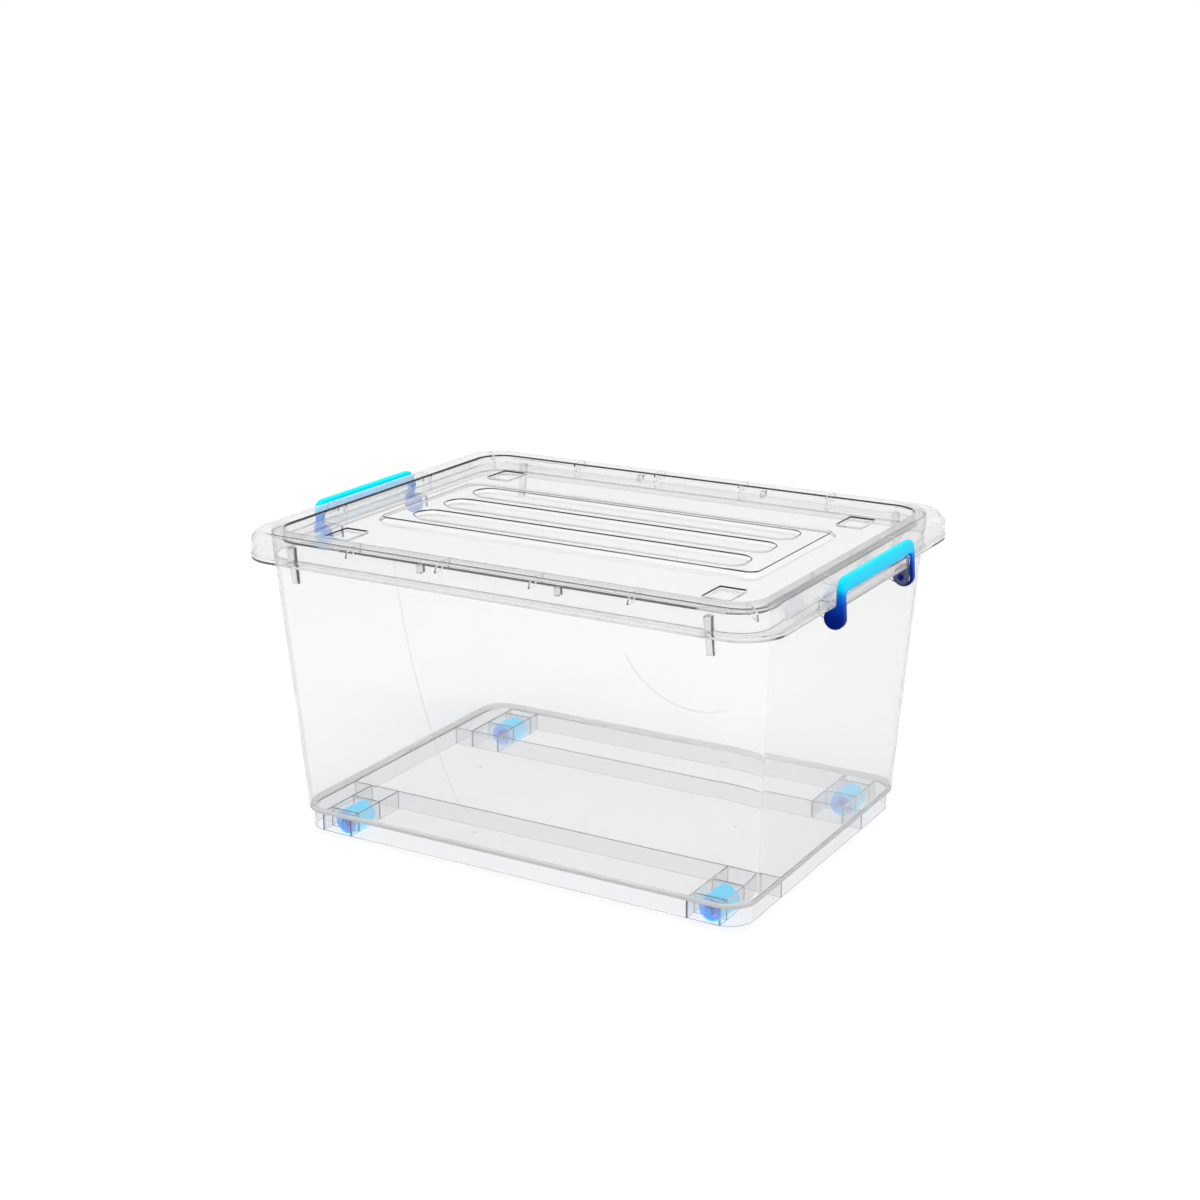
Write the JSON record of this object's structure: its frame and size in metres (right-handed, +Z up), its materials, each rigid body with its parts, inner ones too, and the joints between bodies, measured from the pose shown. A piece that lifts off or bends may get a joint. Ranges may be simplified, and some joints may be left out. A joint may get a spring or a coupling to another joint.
{
  "type": "storage box",
  "caption": "Clear lidded storage box with round-ended grooves in the lid, a swinging clip handle on each short side and small rollers under the floor.",
  "frame": {"origin": "on the ground under the middle of the box, where its rollers stand", "axes": "+X along the length towards one handle, +Y across towards the rear long side, +Z up"},
  "size_m": [0.5996, 0.456, 0.3247],
  "materials": {
    "clear_body": "clear, slightly grey moulded polypropylene",
    "clear_lid": "clear moulded polypropylene",
    "blue_handle": "satin gloss, solid bright blue",
    "blue_roller": "satin gloss, solid bright blue"
  },
  "bodies": {
    "tub": {"tub": "clear_body"},
    "lid": {"lid": "clear_lid"},
    "handle_right": {"handle_right": "blue_handle"},
    "handle_left": {"handle_left": "blue_handle"},
    "roller_front_left": {"roller_front_left": "blue_roller"},
    "roller_front_right": {"roller_front_right": "blue_roller"},
    "roller_rear_left": {"roller_rear_left": "blue_roller"},
    "roller_rear_right": {"roller_rear_right": "blue_roller"}
  },
  "joints": [
    {"name": "lid_lift", "type": "slide", "parent": "tub", "child": "lid", "axis": [0, 0, 1], "range_m": [0, 0.12]},
    {"name": "handle_right_swing", "type": "hinge", "parent": "tub", "child": "handle_right", "pos_m": [0.2894, 0, 0.286], "axis": [0, 1, 0], "range_deg": [0, 165]},
    {"name": "handle_left_swing", "type": "hinge", "parent": "tub", "child": "handle_left", "pos_m": [-0.2894, 0, 0.286], "axis": [0, -1, 0], "range_deg": [0, 165]},
    {"name": "roller_front_left_spin", "type": "hinge", "parent": "tub", "child": "roller_front_left", "pos_m": [-0.2095, -0.1477, 0.0125], "axis": [0, 1, 0], "continuous": true},
    {"name": "roller_front_right_spin", "type": "hinge", "parent": "tub", "child": "roller_front_right", "pos_m": [0.2095, -0.1477, 0.0125], "axis": [0, 1, 0], "continuous": true},
    {"name": "roller_rear_left_spin", "type": "hinge", "parent": "tub", "child": "roller_rear_left", "pos_m": [-0.2095, 0.1477, 0.0125], "axis": [0, 1, 0], "continuous": true},
    {"name": "roller_rear_right_spin", "type": "hinge", "parent": "tub", "child": "roller_rear_right", "pos_m": [0.2095, 0.1477, 0.0125], "axis": [0, 1, 0], "continuous": true}
  ]
}
